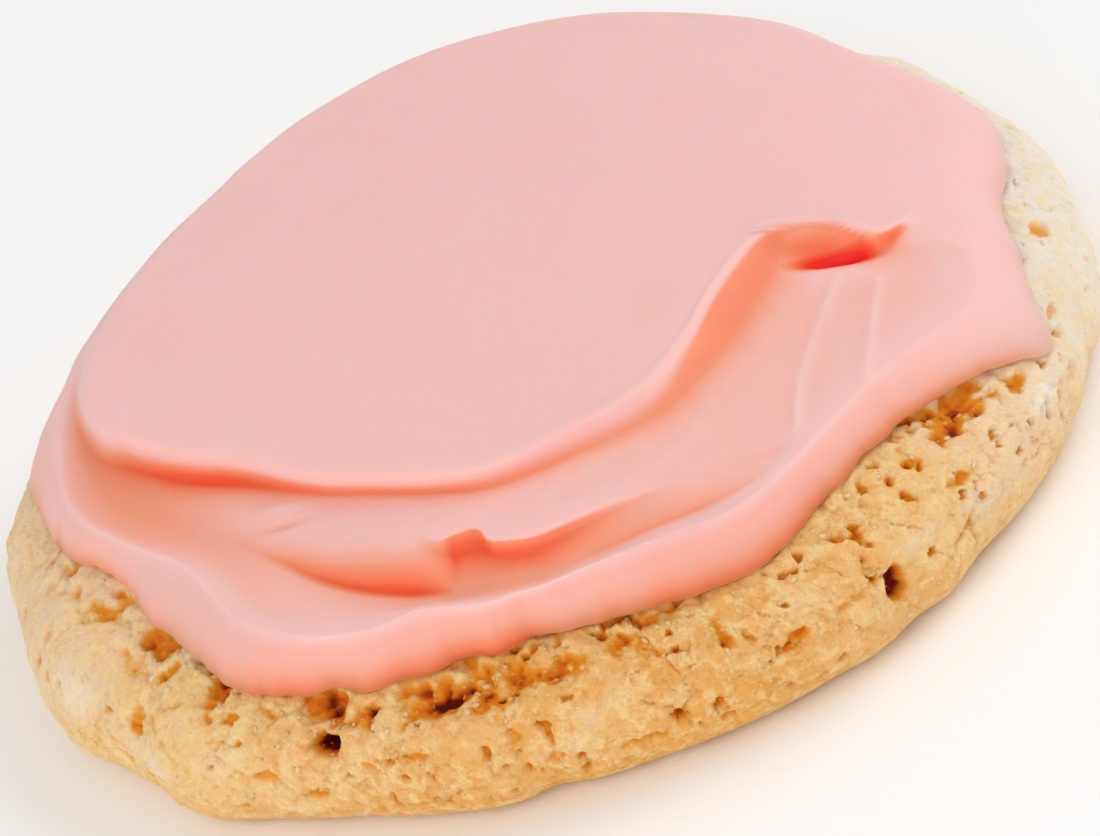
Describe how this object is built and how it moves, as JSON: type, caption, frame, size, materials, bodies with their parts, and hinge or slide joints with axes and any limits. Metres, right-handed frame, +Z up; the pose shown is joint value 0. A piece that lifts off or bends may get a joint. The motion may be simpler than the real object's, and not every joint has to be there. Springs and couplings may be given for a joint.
{
  "type": "iced sugar cookie",
  "caption": "Thick round sugar cookie with a torn crumbly side and a hand-spread coat of soft pink icing that steps down in a swirl.",
  "frame": {"origin": "centre of the object's box at the flat foot that it rests on", "axes": "+Z up through the icing; -Y towards the side where the icing steps down and the crumb shows most; +X towards the side with the curled end of the icing's crest"},
  "size_m": [0.0888, 0.0882, 0.0197],
  "materials": {
    "baked_crumb": "matt, open crumb with darker hollows",
    "buttercream": "soft satin, lets light through"
  },
  "bodies": {
    "root": {"cookie": "baked_crumb", "icing": "buttercream"}
  },
  "joints": []
}
